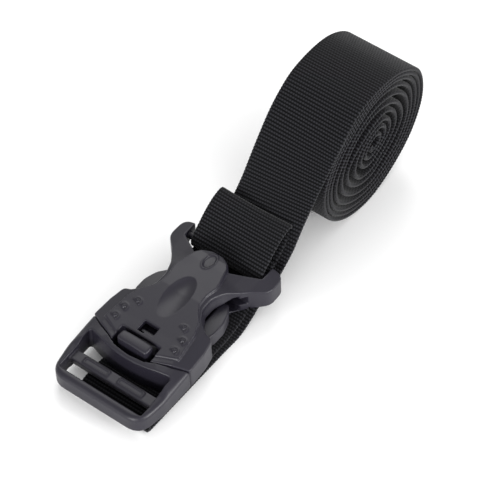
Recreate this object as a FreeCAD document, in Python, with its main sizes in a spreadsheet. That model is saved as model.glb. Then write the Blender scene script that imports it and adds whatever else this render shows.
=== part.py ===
import FreeCAD, Part
import math
import os
import Sketcher

# Dive weight belt: a 50 mm webbing strap, rolled up at one end, sewn round the rear bar of the
# socket of a three-way release buckle, with the plug of the buckle clipped into the socket.
# Belt frame: +X along the belt from the plug towards the roll, +Y to the left, +Z up, the belt
# lying on Z = 0, with the origin under the middle of the whole belt.
# Buckle frame (s, y, h): s along the buckle, y as in the belt, h up from the buckle's underside.

doc = FreeCAD.newDocument("dive_weight_belt")
sheet = doc.addObject("Spreadsheet::Sheet", "Sizes")

SIZES = [
    # webbing
    ("strap_width", 50.0), ("strap_thick", 1.9), ("lay_gap", 0.25),
    ("fold_yaw_y", -7.0), ("lead_yaw", 0.0113), ("return_yaw", 0.052),
    ("fold_place", 2.0), ("lay_length", 84.0),
    # roll of webbing
    ("roll_place", 214.7), ("roll_rest", 45.5), ("roll_long", 51.4), ("roll_high", 44.7),
    ("roll_tilt", 15.0), ("roll_turns", 6.9), ("core_long", 17.5), ("core_high", 13.4),
    ("core_tilt", 27.0), ("tighten", 1.3), ("leave_angle", 83.0),
    ("curl_turns", 2.0), ("curl_long", 6.0), ("curl_high", 4.6),
    ("press_angle", 144.0), ("press_spread", 30.0), ("press_depth", 0.085), ("press_share", 0.35),
    # place of the buckle on the strap
    ("buckle_tilt", 2.7), ("buckle_rest", 4.4), ("half_width", 34.0),
    # plug frame
    ("end_reach", 6.0), ("frame_height", 11.5), ("frame_rise", 6.3), ("rail", 5.2),
    ("end_bar", 4.6), ("slot_low", 8.6), ("cross_bar", 7.2), ("cross_low", 1.8),
    ("cross_thick", 4.8), ("slot_high", 9.6), ("seam_side", 36.0), ("seam_mid", 24.0), ("seam_gap", 0.35),
    # socket shell
    ("shell_wall", 3.0), ("shell_floor", 2.2), ("rim_height", 15.0), ("panel_half", 25.5),
    ("panel_low", 20.0), ("panel_high", 23.3), ("shoulder", 60.0), ("waist_half", 16.3),
    ("waist_place", 73.0), ("scoop_end", 89.0), ("wing_half", 35.0), ("wing_place", 108.0),
    ("wing_height", 13.6), ("wing_end", 121.0), ("nose_half", 10.5),
    ("nose_tip", 106.5), ("nose_root", 100.0), ("slot_half", 27.5), ("nose_under", 9.9),
    ("shell_block", 24.5), ("strap_rise", 97.0), ("wing_under", 8.0), ("key_in", 17.0),
    ("key_top", 13.0), ("under_half", 31.2), ("cavity_half", 30.6), ("cavity_top", 12.9), ("stop_wall", 4.0),
    # rear bar
    ("bar_place", 115.0), ("bar_height", 10.4), ("bar_radius", 2.3), ("bar_gap", 0.35),
    # prongs
    ("prong_root", 28.4), ("prong_wide", 4.2), ("arm_out", 23.6), ("pad_out", 27.2),
    ("prong_low", 2.9), ("prong_high", 12.3), ("pad_end", 87.0), ("spine_half", 9.6),
    # centre tongue and its button and catch
    ("tongue_root", 24.6), ("tongue_half", 10.5), ("tongue_low", 9.6), ("tongue_high", 13.2),
    ("tongue_end", 50.0), ("button_start", 27.2),
    ("button_end", 34.2), ("button_high", 22.4), ("notch_half", 13.5), ("notch_end", 36.6),
    ("window_start", 40.4), ("window_end", 46.4), ("window_half", 5.0), ("catch_high", 19.0),
    ("work_gap", 0.5), ("cut_reach", 60.0),
    # moulded details
    ("bump_radius", 1.2), ("dish_start", 53.0), ("dish_end", 83.0), ("dish_half", 6.5),
    ("dish_deep", 1.4),
    # stitching
    ("stitch_rows", 2), ("stitch_pitch", 4.0), ("thread", 0.5),
]
for row, (alias, value) in enumerate(SIZES, start=1):
    sheet.set("A%d" % row, alias)
    sheet.set("B%d" % row, str(value))
    sheet.setAlias("B%d" % row, alias)
doc.recompute()


def size(alias):
    """The number that the sheet holds under this alias."""
    return float(sheet.get(alias))


def vec(x, y, z=0.0):
    return FreeCAD.Vector(x, y, z)


# ---------------------------------------------------------------------------------------------
# Middle line of the roll, and placements
# ---------------------------------------------------------------------------------------------
THICK = size("strap_thick")


def roll_point(angle):
    """Middle of the webbing in the roll, angle radians clockwise from where the strap leaves it."""
    turns = angle / (2 * math.pi)
    share = min(1.0, turns / size("roll_turns"))
    curl = max(0.0, turns - size("roll_turns")) / size("curl_turns")
    inward = share ** size("tighten")
    long_half = size("roll_long") + (size("core_long") - size("roll_long")) * inward
    long_half += (size("curl_long") - size("core_long")) * curl
    high_half = size("roll_high") + (size("core_high") - size("roll_high")) * inward
    high_half += (size("curl_high") - size("core_high")) * curl
    turn = math.radians(size("roll_tilt") + (size("core_tilt") - size("roll_tilt")) * share)
    around = math.radians(size("leave_angle")) - angle
    # The lead presses the outer turns flatter where it lies on them.
    from_press = (math.degrees(around + turn) - size("press_angle") + 180.0) % 360.0 - 180.0
    pressed = size("press_depth") * max(0.0, 1.0 - share / size("press_share"))
    squeeze = 1.0 - pressed * math.exp(-(from_press / size("press_spread")) ** 2)
    across = long_half * squeeze * math.cos(around)
    up = high_half * squeeze * math.sin(around)
    return vec(size("roll_place") + across * math.cos(turn) - up * math.sin(turn), 0,
               size("roll_rest") + across * math.sin(turn) + up * math.cos(turn))


roll_steps = int(round((size("roll_turns") + size("curl_turns")) * 16))
roll_sweep = 2 * math.pi * (size("roll_turns") + size("curl_turns"))
roll_path = [roll_point(roll_sweep * i / roll_steps) for i in range(roll_steps + 1)]

TILT = math.radians(size("buckle_tilt"))
BELT_LEFT = -(size("end_reach") * math.cos(TILT) + size("frame_height") * math.sin(TILT))
BELT_RIGHT = max(point.x for point in roll_path) + THICK / 2
MIDDLE = (BELT_LEFT + BELT_RIGHT) / 2
STRAP_PLACE = FreeCAD.Placement(vec(-MIDDLE, 0, 0), FreeCAD.Rotation())
BUCKLE_PLACE = FreeCAD.Placement(vec(-MIDDLE, 0, size("buckle_rest")),
                                 FreeCAD.Rotation(vec(0, 1, 0), -size("buckle_tilt")))


# ---------------------------------------------------------------------------------------------
# Outlines and PartDesign helpers
# ---------------------------------------------------------------------------------------------
WORK = size("work_gap")


def rounded(corners):
    """Lines and tangent arcs round closed corners, each corner (x, y, radius)."""
    count = len(corners)
    stretches = []
    for i, (x, y, radius) in enumerate(corners):
        here = vec(x, y)
        before = vec(*corners[i - 1][:2])
        after = vec(*corners[(i + 1) % count][:2])
        back = (before - here).normalize()
        ahead = (after - here).normalize()
        if radius <= 0:
            stretches.append((here, None, here))
            continue
        half = back.getAngle(ahead) / 2
        reach = radius / math.tan(half)
        middle = here + (back + ahead).normalize() * (radius / math.sin(half) - radius)
        stretches.append((here + back * reach, middle, here + ahead * reach))
    pieces = []
    for i, (start, middle, end) in enumerate(stretches):
        if middle is not None:
            pieces.append(Part.Arc(start, middle, end))
        following = stretches[(i + 1) % count][0]
        if end.distanceToPoint(following) > 1e-6:
            pieces.append(Part.LineSegment(end, following))
    return pieces


def plane_of(body, role):
    return [f for f in body.Origin.OriginFeatures if f.Role == role][0]


def sketch(body, name, role, pieces, lift=None):
    item = body.newObject("Sketcher::SketchObject", name)
    item.AttachmentSupport = [(plane_of(body, role), "")]
    item.MapMode = "FlatFace"
    item.addGeometry(pieces, False)
    if lift is not None:
        item.setExpression("AttachmentOffset.Base.z", lift)
    return item


def pad(body, name, profile, length, symmetric=False):
    item = body.newObject("PartDesign::Pad", name)
    item.Profile = profile
    item.Midplane = symmetric
    item.setExpression("Length", length)
    body.Tip = item
    doc.recompute()
    return item


def pocket(body, name, profile, length=None, symmetric=False, flip=False):
    """A pocket of the given depth, or right through both ways when no depth is given."""
    before = body.Shape.Volume
    item = body.newObject("PartDesign::Pocket", name)
    item.Profile = profile
    if length is None:
        item.Type = 1
        item.Midplane = True
    else:
        item.Midplane = symmetric
        item.Reversed = flip
        item.setExpression("Length", length)
    body.Tip = item
    doc.recompute()
    if not body.Shape.Volume < before - 0.01:
        raise RuntimeError("%s of %s cuts nothing" % (name, body.Label))
    return item


def new_body(node):
    body = doc.addObject("PartDesign::Body", node)
    body.Label = node
    return body


def box_corners(x0, x1, y0, y1, radius=0.0):
    return rounded([(x0, y0, radius), (x1, y0, radius), (x1, y1, radius), (x0, y1, radius)])


# ---------------------------------------------------------------------------------------------
# Webbing
# ---------------------------------------------------------------------------------------------
STRETCH = 18
LOW_LAY = THICK / 2
HIGH_LAY = 3 * THICK / 2 + size("lay_gap")
LAY_END = size("fold_place") + size("lay_length")
BAR_X = size("bar_place") * math.cos(TILT) - size("bar_height") * math.sin(TILT)
BAR_Z = size("bar_place") * math.sin(TILT) + size("bar_height") * math.cos(TILT) + size("buckle_rest")


def ribbon(points, start_way, end_way):
    """A strip of webbing, strap_width wide, whose middle runs through the points in X and Z."""
    lead_in = points[0] + start_way * THICK
    lead_out = points[-1] - end_way * THICK
    middle = Part.BSplineCurve()
    middle.interpolate(Points=[points[0], lead_in] + points[1:-1] + [lead_out, points[-1]])
    first, last = middle.FirstParameter, middle.LastParameter
    count = 6 * len(points)
    sides = ([], [])
    for i in range(count + 1):
        where = first + (last - first) * i / count
        along = middle.tangent(where)[0]
        if i == 0:
            along = start_way
        if i == count:
            along = end_way
        out = vec(-along.z, 0, along.x) * (THICK / 2)
        sides[0].append(middle.value(where) + out)
        sides[1].append(middle.value(where) - out)
    curves = []
    for side in sides:
        curve = Part.BSplineCurve()
        curve.interpolate(Points=side)
        knots = curve.getKnots()
        stops = knots[:-1:STRETCH] + [knots[-1]]
        curves += [curve.toShape(start, end) for start, end in zip(stops, stops[1:])]
    ends = [Part.makeLine(sides[0][0], sides[1][0]), Part.makeLine(sides[0][-1], sides[1][-1])]
    face = Part.Face(Part.Wire(Part.__sortEdges__(curves + ends)))
    return face.extrude(vec(0, size("strap_width"), 0))


def yawed(shape, yaw):
    """The strip with its middle swung sideways from the fold: y grows by yaw for each mm of X."""
    matrix = FreeCAD.Matrix()
    matrix.A21 = yaw
    matrix.A24 = size("fold_yaw_y") - size("strap_width") / 2
    return shape.transformGeometry(matrix)


def webbing(node, shape):
    item = doc.addObject("Part::Feature", node)
    item.Label = node
    item.Shape = shape
    item.Placement = STRAP_PLACE
    return item


def direction(start, end):
    return (end - start).normalize()


roll_start = direction(roll_point(0.0), roll_point(0.01))
roll_end = direction(roll_point(roll_sweep - 0.01), roll_point(roll_sweep))
webbing("webbing_roll", yawed(ribbon(roll_path, roll_start, roll_end), size("lead_yaw")))

# The lead climbs from the lower lay to the top of the roll.
lead_path = [vec(LAY_END, 0, LOW_LAY), vec(104, 0, 6.3), vec(122, 0, 12.9), vec(134, 0, 20.6),
             vec(146, 0, 33.6), vec(153, 0, 41.6), vec(160, 0, 50.2), vec(166, 0, 57.8),
             vec(172, 0, 64.8), vec(179, 0, 72.9), vec(186, 0, 80.0), vec(194, 0, 86.2), roll_point(0.0)]
webbing("webbing_lead", yawed(ribbon(lead_path, vec(1, 0, 0), roll_start), size("lead_yaw")))

# The lower lay lies flat on the ground and turns over at the fold.
fold_x = size("fold_place")
fold_mid = (LOW_LAY + HIGH_LAY) / 2
inner = size("lay_gap") / 2


def base_point(x, z):
    return vec(x, size("lead_yaw") * x + size("fold_yaw_y") - size("strap_width") / 2, z)


base_wire = Part.Wire([
    Part.makeLine(base_point(LAY_END, 0), base_point(fold_x, 0)),
    Part.Arc(base_point(fold_x, 0), base_point(fold_x - fold_mid, fold_mid),
             base_point(fold_x, 2 * fold_mid)).toShape(),
    Part.makeLine(base_point(fold_x, 2 * fold_mid), base_point(fold_x, fold_mid + inner)),
    Part.Arc(base_point(fold_x, fold_mid + inner), base_point(fold_x - inner, fold_mid),
             base_point(fold_x, fold_mid - inner)).toShape(),
    Part.makeLine(base_point(fold_x, fold_mid - inner), base_point(LAY_END, THICK)),
    Part.makeLine(base_point(LAY_END, THICK), base_point(LAY_END, 0)),
])
webbing("webbing_base", Part.Face(base_wire).extrude(vec(0, size("strap_width"), 0)))

# The upper lay comes back under the buckle and under the rear bar.
return_end = vec(BAR_X - 3.0, 0, BAR_Z - 6.9)
return_path = [vec(fold_x + (LAY_END - fold_x) * i / 8, 0, HIGH_LAY) for i in range(9)]
return_path += [vec(95, 0, 5.2), vec(103, 0, 8.9), return_end]
return_way = vec(1, 0, 0.36).normalize()
webbing("webbing_return", yawed(ribbon(return_path, vec(1, 0, 0), return_way), size("return_yaw")))

# The loop rises to its far fold, comes back over the rear bar, goes round it and ends in a tail.
wrap = size("bar_radius") + size("bar_gap") + THICK / 2
loop_path = [return_end, vec(121, 0, 15.7), vec(128, 0, 19.8), vec(134, 0, 24.8), vec(139.5, 0, 30.5),
             vec(143.2, 0, 34.6), vec(140.8, 0, 38.0), vec(136, 0, 37.9), vec(127, 0, 34.6),
             vec(119.4, 0, 29.2)]
for step in range(140, 271, 26):
    turn = math.radians(step)
    loop_path.append(vec(BAR_X + wrap * math.cos(turn), 0, BAR_Z + wrap * math.sin(turn)))
loop_path += [vec(BAR_X + 4.5, 0, BAR_Z - 1.9), vec(BAR_X + 10.5, 0, BAR_Z + 2.0)]
tail_way = direction(loop_path[-2], loop_path[-1])
webbing("webbing_loop", yawed(ribbon(loop_path, return_way, tail_way), size("return_yaw")))


# ---------------------------------------------------------------------------------------------
# Plug frame: the ladder-lock that the wearer's end of the strap threads through
# ---------------------------------------------------------------------------------------------
SLOT_OUT = size("half_width") - size("rail")
SLOT_1 = -size("end_reach") + size("end_bar")
CROSS = SLOT_1 + size("slot_low")
SLOT_2 = CROSS + size("cross_bar")
SLOT_2_END = SLOT_2 + size("slot_high")


def seam(shift):
    """The -Y half to +Y half of the plug's edge at the socket, moved along s by shift."""
    side, mid = size("seam_side") + shift, size("seam_mid") + shift
    half = size("half_width")
    return [(side, half - 0.2, 0), (mid + 3.6, size("notch_half") + 1.5, 6.0),
            (mid + 0.6, 0.0, 60.0), (mid + 3.6, -size("notch_half") - 1.5, 6.0), (side, -half + 0.2, 0)]


frame = new_body("plug_frame")
end_reach = size("end_reach")
frame_outline = seam(0.0) + [(10, -size("half_width"), 40.0), (-end_reach, -31.0, 11.0),
                             (-end_reach, 31.0, 11.0), (10, size("half_width"), 40.0)]
pad(frame, "frame_block", sketch(frame, "frame_plan", "XY_Plane", rounded(frame_outline)),
    "Sizes.panel_low")
# The top rises from the end bar to the seam, where it meets the socket's panel.
low, high = size("frame_height"), size("frame_height") + size("frame_rise")
frame_top = [(-20, low - 1.6, 0), (SLOT_1 - 2.5, low, 0), (SLOT_2 + 1, low + 0.8, 8.0),
             (size("seam_mid") - 1.5, high - 0.4, 1.5), (size("seam_side") + 2, high + 1.0, 0),
             (size("seam_side") + 2, 40, 0), (-20, 40, 0)]
pocket(frame, "frame_top", sketch(frame, "frame_top_line", "XZ_Plane", rounded(frame_top)))
slot_1 = box_corners(SLOT_1, CROSS, -SLOT_OUT, SLOT_OUT, 2.0)
pocket(frame, "first_slot", sketch(frame, "first_slot_plan", "XY_Plane", slot_1))
slot_2 = rounded([(SLOT_2, SLOT_OUT, 2.0), (SLOT_2, -SLOT_OUT, 2.0), (SLOT_2_END + 2.0, -SLOT_OUT, 3.0),
                  (SLOT_2_END - 2.0, 0, 60.0), (SLOT_2_END + 2.0, SLOT_OUT, 3.0)])
pocket(frame, "second_slot", sketch(frame, "second_slot_plan", "XY_Plane", slot_2))
# The cross bar is thinner than the rails: its top lies below theirs and its foot clears the ground.
cross_plan = box_corners(CROSS - 0.1, SLOT_2 + 0.1, -SLOT_OUT, SLOT_OUT)
cross_top = "Sizes.frame_height - Sizes.cross_low"
pocket(frame, "cross_drop", sketch(frame, "cross_drop_plan", "XY_Plane", cross_plan, cross_top),
       "Sizes.cut_reach", flip=True)
cross_foot = sketch(frame, "cross_foot_plan", "XY_Plane", cross_plan, cross_top + " - Sizes.cross_thick")
pocket(frame, "cross_rise", cross_foot, "Sizes.cut_reach")
# The sides of the raised seam edge fall away to the rails.
side_fall = [(12.0, 19.2, 0), (24.0, 17.0, 0), (size("half_width") + 1, 14.6, 0),
             (size("half_width") + 1, 40, 0), (12.0, 40, 0)]
for name, sign in (("left", 1), ("right", -1)):
    fall = rounded([(sign * y, h, 0) for y, h, r in side_fall])
    pocket(frame, "seam_fall_" + name, sketch(frame, "seam_fall_line_" + name, "YZ_Plane", fall))
# Recesses that hold the roots of the prongs and of the tongue.
for name, sign in (("left", 1), ("right", -1)):
    recess = box_corners(size("prong_root"), 60, sign * (size("arm_out") - size("prong_wide") - 3 * WORK),
                         sign * (size("arm_out") + WORK))
    pocket(frame, "prong_recess_" + name, sketch(frame, "prong_recess_plan_" + name, "XY_Plane", recess))
recess = box_corners(size("tongue_root"), 60, -size("tongue_half") - WORK, size("tongue_half") + WORK)
pocket(frame, "tongue_recess", sketch(frame, "tongue_recess_plan", "XY_Plane", recess))
frame.Placement = BUCKLE_PLACE


# ---------------------------------------------------------------------------------------------
# Socket shell: the half of the buckle that is held by the strap
# ---------------------------------------------------------------------------------------------
def both_sides(half):
    """The closed outline on the +Y side and its mirror image on the -Y side."""
    return rounded(half) + rounded([(x, -y, radius) for x, y, radius in reversed(half)])


shell = new_body("socket_shell")
wing = size("wing_half")
shell_half = [(size("wing_end"), 29.5, 3.0), (size("wing_place") + 7.5, wing, 5.0),
              (size("wing_place") - 7.0, wing, 5.0), (95.0, 30.5, 0), (57.5, 31.6, 6.0), (48.0, 33.3, 20.0)]
shell_plan = shell_half + seam(size("seam_gap")) + [(x, -y, r) for x, y, r in reversed(shell_half)]
# seam() runs from +Y to -Y, after the +Y half of the shell and before its -Y half.
pad(shell, "shell_block", sketch(shell, "shell_plan", "XY_Plane", rounded(shell_plan)), "Sizes.shell_block")
roof = [(10, size("panel_low") - 0.6, 0), (44, size("panel_low") + 0.4, 0), (72, size("panel_high"), 40.0),
        (100, size("panel_high"), 0), (size("nose_tip") + 1, size("panel_high") - 2.2, 0),
        (size("nose_tip") + 1, 17.5, 0), (140, 17.5, 0), (140, 40, 0), (10, 40, 0)]
pocket(shell, "roof_cut", sketch(shell, "roof_line", "XZ_Plane", rounded(roof)))
bevel = [(14.0, size("panel_high") + 0.3, 0), (size("panel_half"), size("panel_low") - 0.6, 0),
         (wing + 1, size("rim_height") - 1.0, 0), (wing + 1, 40, 0), (14.0, 40, 0)]
pocket(shell, "bevel_cut", sketch(shell, "bevel_line", "YZ_Plane", both_sides(bevel)))
wing_fall = both_sides([(size("nose_half") + 1.0, 22.0, 0), (19.0, 17.6, 0), (size("slot_half"), 15.2, 0),
                        (wing + 1, size("wing_height") - 0.4, 0), (wing + 1, 40, 0),
                        (size("nose_half") + 1.0, 40, 0)])
pocket(shell, "wing_cut", sketch(shell, "wing_line", "YZ_Plane", wing_fall, "Sizes.scoop_end + 3"),
       "Sizes.cut_reach", flip=True)
# Scoops at the waist, where finger and thumb reach the pads.
waist, reach = size("waist_half"), size("waist_place")
scoop = [(size("shoulder"), 45, 0), (size("shoulder"), size("pad_out") - 0.6, 2.0),
         (reach - 7.0, waist + 2.2, 5.0), (reach + 3.0, waist - 0.6, 21.0),
         (size("scoop_end") + 1.0, waist + 4.6, 24.0), (103.0, 36.5, 0),
         (103.0, 45, 0)]
pocket(shell, "scoops", sketch(shell, "scoop_plan", "XY_Plane", both_sides(scoop)))
# Slot for the webbing, open behind until the bar closes it.
slot = size("slot_half")
tip, root, nose = size("nose_tip"), size("nose_root"), size("nose_half")
webbing_slot = [(140, slot, 0), (tip + 4.3, slot, 1.0), (root + 0.6, nose + 1.0, 1.0),
                (tip - 3.0, nose - 1.0, 4.0), (tip, 0, 14.0), (tip - 3.0, 1.0 - nose, 4.0),
                (root + 0.6, -nose - 1.0, 1.0),
                (tip + 4.3, -slot, 1.0), (140, -slot, 0)]
pocket(shell, "webbing_slot", sketch(shell, "webbing_slot_plan", "XY_Plane", rounded(webbing_slot)))
# Ways under the nose and the wings for the strap, which rises towards the bar.
rise = size("strap_rise")
loop_way = [(rise - 4.0, -1, 0), (rise, 0.8, 0), (rise + 16.0, size("nose_under"), 0),
            (140, size("nose_under"), 0), (140, -1, 0)]
pocket(shell, "loop_way", sketch(shell, "loop_way_side", "XZ_Plane", rounded(loop_way)),
       "2 * Sizes.slot_half", symmetric=True)
lead_way = [(rise + 6.0, -1, 0), (rise + 8.0, 0.5, 0), (size("wing_end"), size("wing_under"), 0),
            (140, size("wing_under"), 0), (140, -1, 0)]
pocket(shell, "lead_way", sketch(shell, "lead_way_side", "XZ_Plane", rounded(lead_way)),
       "2 * Sizes.under_half", symmetric=True)
# A keyed opening in each wing's wall, behind the tip of the pad.
key, key_top = size("scoop_end") + 1.2, size("key_top")
key_line = [(key, 1.0, 0), (key + 3.8, 1.0, 0), (key + 3.8, 5.5, 0), (key + 7.8, 5.5, 0),
            (key + 7.8, key_top - 2.0, 0), (key + 3.8, key_top - 2.0, 0), (key + 3.8, key_top, 0),
            (key, key_top, 0)]
for name, lift, outward in (("left", "-Sizes.key_in", False), ("right", "Sizes.key_in", True)):
    opening = sketch(shell, "key_side_" + name, "XZ_Plane", rounded(key_line), lift)
    pocket(shell, "key_" + name, opening, "Sizes.cut_reach", flip=outward)
# Inside: a wide cavity up to the stop walls, then a way on each side of the spine for the pads.
cavity = box_corners(10, size("shoulder") - size("stop_wall"), -size("cavity_half"), size("cavity_half"))
pocket(shell, "cavity", sketch(shell, "cavity_plan", "XY_Plane", cavity, "Sizes.shell_floor"),
       "Sizes.cavity_top - Sizes.shell_floor", flip=True)
side_way = both_sides([(50, size("spine_half"), 0), (50, size("arm_out") + WORK, 0),
                       (size("shoulder"), size("arm_out") + WORK, 0), (size("shoulder"), 33, 0),
                       (size("pad_end") + 5.0, 33, 0), (size("pad_end") + 5.0, size("spine_half"), 0)])
pocket(shell, "side_ways", sketch(shell, "side_way_plan", "XY_Plane", side_way, "Sizes.shell_floor"),
       "Sizes.cavity_top - Sizes.shell_floor", flip=True)
tongue_way = size("tongue_half") + WORK
centre_way = box_corners(10, size("tongue_end") + 2.0, -tongue_way, tongue_way)
pocket(shell, "centre_way", sketch(shell, "centre_way_plan", "XY_Plane", centre_way, "Sizes.shell_floor"),
       "Sizes.panel_low - Sizes.shell_wall - Sizes.shell_floor", flip=True)
notch = box_corners(10, size("notch_end"), -size("notch_half"), size("notch_half"))
pocket(shell, "button_notch", sketch(shell, "button_notch_plan", "XY_Plane", notch, "Sizes.shell_floor"),
       "Sizes.cut_reach", flip=True)
window_half = size("window_half")
window = box_corners(size("window_start"), size("window_end"), -window_half, window_half)
pocket(shell, "catch_window", sketch(shell, "catch_window_plan", "XY_Plane", window, "Sizes.shell_floor"),
       "Sizes.cut_reach", flip=True)
bar_circle = [Part.Circle(vec(size("bar_place"), size("bar_height")), vec(0, 0, 1), size("bar_radius"))]
pad(shell, "rear_bar", sketch(shell, "rear_bar_section", "XZ_Plane", bar_circle),
    "2 * Sizes.slot_half + 6", symmetric=True)
# Grip bumps on each side of the panel.
GRIPS = [(39.3, 21.0, 21.0), (46.8, 20.5, 21.5), (53.8, 16.3, 22.3)]
for number, (along, out, rise) in enumerate(GRIPS, start=1):
    circles = [Part.Circle(vec(along, side * out), vec(0, 0, 1), size("bump_radius")) for side in (1, -1)]
    bumps = sketch(shell, "bump_plan_%d" % number, "XY_Plane", circles, "Sizes.panel_low - 1.5")
    pad(shell, "bumps_%d" % number, bumps, "%s - Sizes.panel_low + 1.5" % rise)
# A shallow dish along the middle of the panel.
dish_top = size("panel_high") - 0.5
dish = [Part.Arc(vec(size("dish_start"), dish_top), vec(size("dish_end") - 8.0, dish_top - size("dish_deep")),
                 vec(size("dish_end"), dish_top)),
        Part.LineSegment(vec(size("dish_end"), dish_top), vec(size("dish_end"), 30)),
        Part.LineSegment(vec(size("dish_end"), 30), vec(size("dish_start"), 30)),
        Part.LineSegment(vec(size("dish_start"), 30), vec(size("dish_start"), dish_top))]
pocket(shell, "dish", sketch(shell, "dish_side", "XZ_Plane", dish), "2 * Sizes.dish_half", symmetric=True)
shell.Placement = BUCKLE_PLACE


# ---------------------------------------------------------------------------------------------
# Prongs and centre tongue: the three sprung arms of the plug
# ---------------------------------------------------------------------------------------------
arm_in, arm_out, pad_out = size("arm_out") - size("prong_wide"), size("arm_out"), size("pad_out")
prong_half = [(size("prong_root"), arm_in, 0), (size("prong_root"), arm_out, 0),
              (size("shoulder") + 0.6, arm_out, 1.0), (size("shoulder") + 0.6, pad_out - 0.4, 1.5),
              (72, pad_out + 0.9, 30.0), (size("pad_end"), 20.9, 1.5), (size("pad_end") - 1.0, 18.0, 0.8),
              (66, 18.2, 4.0), (60, arm_in, 10.0)]
for node, sign in (("prong_left", 1), ("prong_right", -1)):
    prong = new_body(node)
    outline = rounded([(x, sign * y, radius) for x, y, radius in prong_half])
    pad(prong, node + "_arm", sketch(prong, node + "_plan", "XY_Plane", outline, "Sizes.prong_low"),
        "Sizes.prong_high - Sizes.prong_low")
    prong.Placement = BUCKLE_PLACE

tongue = new_body("centre_tongue")
half = size("tongue_half")
plate = box_corners(size("tongue_root"), size("tongue_end"), -half, half)
pad(tongue, "tongue_plate", sketch(tongue, "tongue_plan", "XY_Plane", plate, "Sizes.tongue_low"),
    "Sizes.tongue_high - Sizes.tongue_low")
button = box_corners(size("button_start"), size("button_end"), -half, half, 1.2)
pad(tongue, "button", sketch(tongue, "button_plan", "XY_Plane", button, "Sizes.tongue_low"),
    "Sizes.button_high - Sizes.tongue_low")
catch = rounded([(size("window_start") + WORK, size("tongue_low") + 1, 0),
                 (size("window_start") + WORK, size("catch_high"), 0),
                 (size("window_start") + 2.6, size("catch_high"), 0),
                 (size("window_end") - WORK, size("tongue_high"), 0),
                 (size("window_end") - WORK, size("tongue_low") + 1, 0)])
pad(tongue, "catch", sketch(tongue, "catch_side", "XZ_Plane", catch),
    "2 * Sizes.window_half - 2 * Sizes.work_gap", symmetric=True)
tongue.Placement = BUCKLE_PLACE


# ---------------------------------------------------------------------------------------------
# Stitching that holds the tail of the loop
# ---------------------------------------------------------------------------------------------
tail_start = loop_path[-2]
tail_up = vec(-tail_way.z, 0, tail_way.x)
stitches = []
rows = int(size("stitch_rows"))
per_row = int((size("strap_width") - 8) / size("stitch_pitch"))
for row in range(rows):
    seat = tail_start + tail_way * (2.2 + 2.6 * row) + tail_up * (THICK / 2 + 0.05)
    for step in range(per_row):
        y = size("strap_width") / 2 + (step - (per_row - 1) / 2) * size("stitch_pitch")
        stitches.append(Part.makeCylinder(size("thread") / 2, size("stitch_pitch") * 0.65,
                                          seat + vec(0, y - 1.3, 0), vec(0, 1, 0)))
webbing("stitching", yawed(Part.makeCompound(stitches), size("return_yaw")))

# ---------------------------------------------------------------------------------------------
# Checks and export
# ---------------------------------------------------------------------------------------------
doc.recompute()
for item in doc.Objects:
    if "Invalid" in item.State or "Error" in item.State:
        raise RuntimeError("%s failed: %s" % (item.Label, item.State))
os.makedirs("parts", exist_ok=True)
for item in doc.Objects:
    if item.TypeId not in ("PartDesign::Body", "Part::Feature"):
        continue
    if item.Shape.isNull() or not item.Shape.isValid():
        raise RuntimeError("%s has no valid shape" % item.Label)
    item.Shape.exportStep("parts/%s.step" % item.Label)
    box = item.Shape.BoundBox
    print("%-16s %9.1f mm3  x %.1f..%.1f  y %.1f..%.1f  z %.1f..%.1f  solids %d" % (
        item.Label, item.Shape.Volume, box.XMin, box.XMax, box.YMin, box.YMax, box.ZMin, box.ZMax,
        len(item.Shape.Solids)))
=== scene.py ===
"""Dive weight belt: a rolled webbing strap sewn into the socket of a release buckle."""
import math
import bpy
import numpy as np
from mathutils import Matrix, Vector


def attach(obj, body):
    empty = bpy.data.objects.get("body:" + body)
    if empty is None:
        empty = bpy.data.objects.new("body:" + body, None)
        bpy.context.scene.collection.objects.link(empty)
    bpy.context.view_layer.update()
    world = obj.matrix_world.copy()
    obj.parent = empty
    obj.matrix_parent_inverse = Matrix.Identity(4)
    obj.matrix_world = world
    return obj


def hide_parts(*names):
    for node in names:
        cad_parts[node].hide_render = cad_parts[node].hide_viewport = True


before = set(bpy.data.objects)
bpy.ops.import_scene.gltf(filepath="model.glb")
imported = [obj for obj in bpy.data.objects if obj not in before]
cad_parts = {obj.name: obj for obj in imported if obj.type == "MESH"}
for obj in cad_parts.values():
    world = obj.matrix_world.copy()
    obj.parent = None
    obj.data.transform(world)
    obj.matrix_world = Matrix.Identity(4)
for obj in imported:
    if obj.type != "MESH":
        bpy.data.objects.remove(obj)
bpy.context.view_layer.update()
scene = bpy.context.scene
MM = 0.001
MIDDLE = 129.658  # belt X of the origin, in millimetres from the strap's fold
REST = 4.4  # height of the buckle's underside over the floor at s = 0
TILT = math.radians(2.7)


def link(obj):
    scene.collection.objects.link(obj)
    return obj


# ---------------------------------------------------------------- camera
camera = link(bpy.data.objects.new("camera", bpy.data.cameras.new("camera")))
camera.location = (-0.77333, -0.58381, 1.14797)
turn, climb = math.radians(217.193), math.radians(49.323)
toward = Vector((-math.cos(climb) * math.cos(turn), -math.cos(climb) * math.sin(turn), -math.sin(climb)))
camera.rotation_euler = toward.to_track_quat("-Z", "Y").to_euler()
camera.data.lens = 194.53
camera.data.sensor_width = 36.0
camera.data.clip_start = 0.05
scene.camera = camera


# ---------------------------------------------------------------- materials
def material(name, colour, roughness, shine=0.5):
    mat = bpy.data.materials.new(name)
    mat.use_nodes = True
    nodes, links = mat.node_tree.nodes, mat.node_tree.links
    shader = nodes["Principled BSDF"]
    shader.inputs["Base Color"].default_value = (*colour, 1.0)
    shader.inputs["Roughness"].default_value = roughness
    shader.inputs["Specular IOR Level"].default_value = shine
    return mat, nodes, links, shader


def node(nodes, kind, **values):
    item = nodes.new(kind)
    for key, value in values.items():
        if key in item.inputs:
            item.inputs[key].default_value = value
        else:
            setattr(item, key, value)
    return item


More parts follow.
